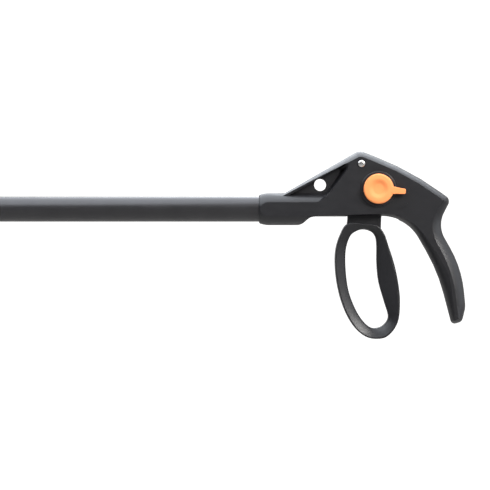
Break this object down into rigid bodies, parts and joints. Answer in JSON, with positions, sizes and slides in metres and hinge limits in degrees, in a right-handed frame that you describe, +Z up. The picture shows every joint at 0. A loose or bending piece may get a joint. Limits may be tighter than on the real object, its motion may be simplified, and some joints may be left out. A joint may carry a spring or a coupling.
{
  "type": "reacher grabber",
  "caption": "Reaching aid: a finger-loop trigger in a pistol handle pulls a rod through a long tube and closes padded jaws, with a turn knob that locks the trigger.",
  "frame": {"origin": "centre of the whole tool's bounding box, jaws open and trigger released", "axes": "+X from the jaws towards the handle along the tube, +Y across the tool towards the screw side, +Z up, towards the trigger's pivot"},
  "size_m": [0.8124, 0.0358, 0.1922],
  "materials": {
    "handle_plastic": "fine moulded satin",
    "trigger_plastic": "fine moulded satin",
    "knob_plastic": "fine moulded satin",
    "tube_aluminium": "black anodised satin",
    "head_plastic": "fine moulded satin",
    "jaw_plastic": "fine moulded satin",
    "pad_rubber": "matte ribbed",
    "nylon": "natural",
    "pin_steel": "polished plated",
    "steel": "zinc plated"
  },
  "bodies": {
    "handle": {"handle_left_shell": "handle_plastic", "handle_right_shell": "handle_plastic", "shell_screw_1": "steel", "shell_screw_2": "steel", "shell_screw_3": "steel", "shell_screw_4": "steel", "shell_screw_5": "steel", "pivot_pin": "pin_steel", "pivot_clip": "steel", "lock_washer": "steel", "tube": "tube_aluminium", "rear_rod_guide": "nylon", "middle_rod_guide": "nylon", "front_rod_guide": "nylon", "spring_washer": "steel", "return_spring": "steel", "head": "head_plastic", "head_rivet_left": "pin_steel", "head_rivet_right": "pin_steel", "upper_jaw_pin": "pin_steel", "lower_jaw_pin": "pin_steel", "upper_jaw_clip": "steel", "lower_jaw_clip": "steel"},
    "trigger": {"trigger": "trigger_plastic"},
    "lock": {"lock_knob": "knob_plastic", "lock_cam": "nylon", "lock_screw": "steel"},
    "rod": {"pull_rod": "steel", "rod_end": "steel", "rod_cross_pin": "steel", "spring_collar": "steel", "crosshead": "nylon", "crosshead_pin": "steel"},
    "upper_jaw": {"upper_jaw": "jaw_plastic", "upper_pad": "pad_rubber", "upper_pad_rivet": "steel"},
    "lower_jaw": {"lower_jaw": "jaw_plastic", "lower_pad": "pad_rubber", "lower_pad_rivet": "steel"}
  },
  "joints": [
    {"name": "trigger_pivot", "type": "hinge", "parent": "handle", "child": "trigger", "pos_m": [0.30365, 0.00325, 0.07758], "axis": [0, -1, 0], "range_deg": [0, 15], "stiffness_Nm_per_rad": 2, "springref_deg": -14.9},
    {"name": "rod_slide", "type": "slide", "parent": "handle", "child": "rod", "axis": [1, 0, 0], "range_m": [0, 0.01183], "deforming": ["return_spring"]},
    {"name": "upper_jaw_pivot", "type": "hinge", "parent": "handle", "child": "upper_jaw", "pos_m": [-0.31485, 0.00325, 0.05268], "axis": [0, -1, 0], "range_deg": [0, 32.95]},
    {"name": "lower_jaw_pivot", "type": "hinge", "parent": "handle", "child": "lower_jaw", "pos_m": [-0.31485, 0.00325, 0.01268], "axis": [0, 1, 0], "range_deg": [0, 32.95]},
    {"name": "lock_turn", "type": "hinge", "parent": "handle", "child": "lock", "pos_m": [0.32045, 0.00325, 0.05258], "axis": [0, 1, 0], "range_deg": [0, 30]}
  ],
  "couplings": [
    {"joint": "rod_slide", "follows": "trigger_pivot", "m_per_rad": 0.045158},
    {"joint": "upper_jaw_pivot", "follows": "trigger_pivot", "ratio": 2.1955},
    {"joint": "lower_jaw_pivot", "follows": "trigger_pivot", "ratio": 2.1955}
  ]
}
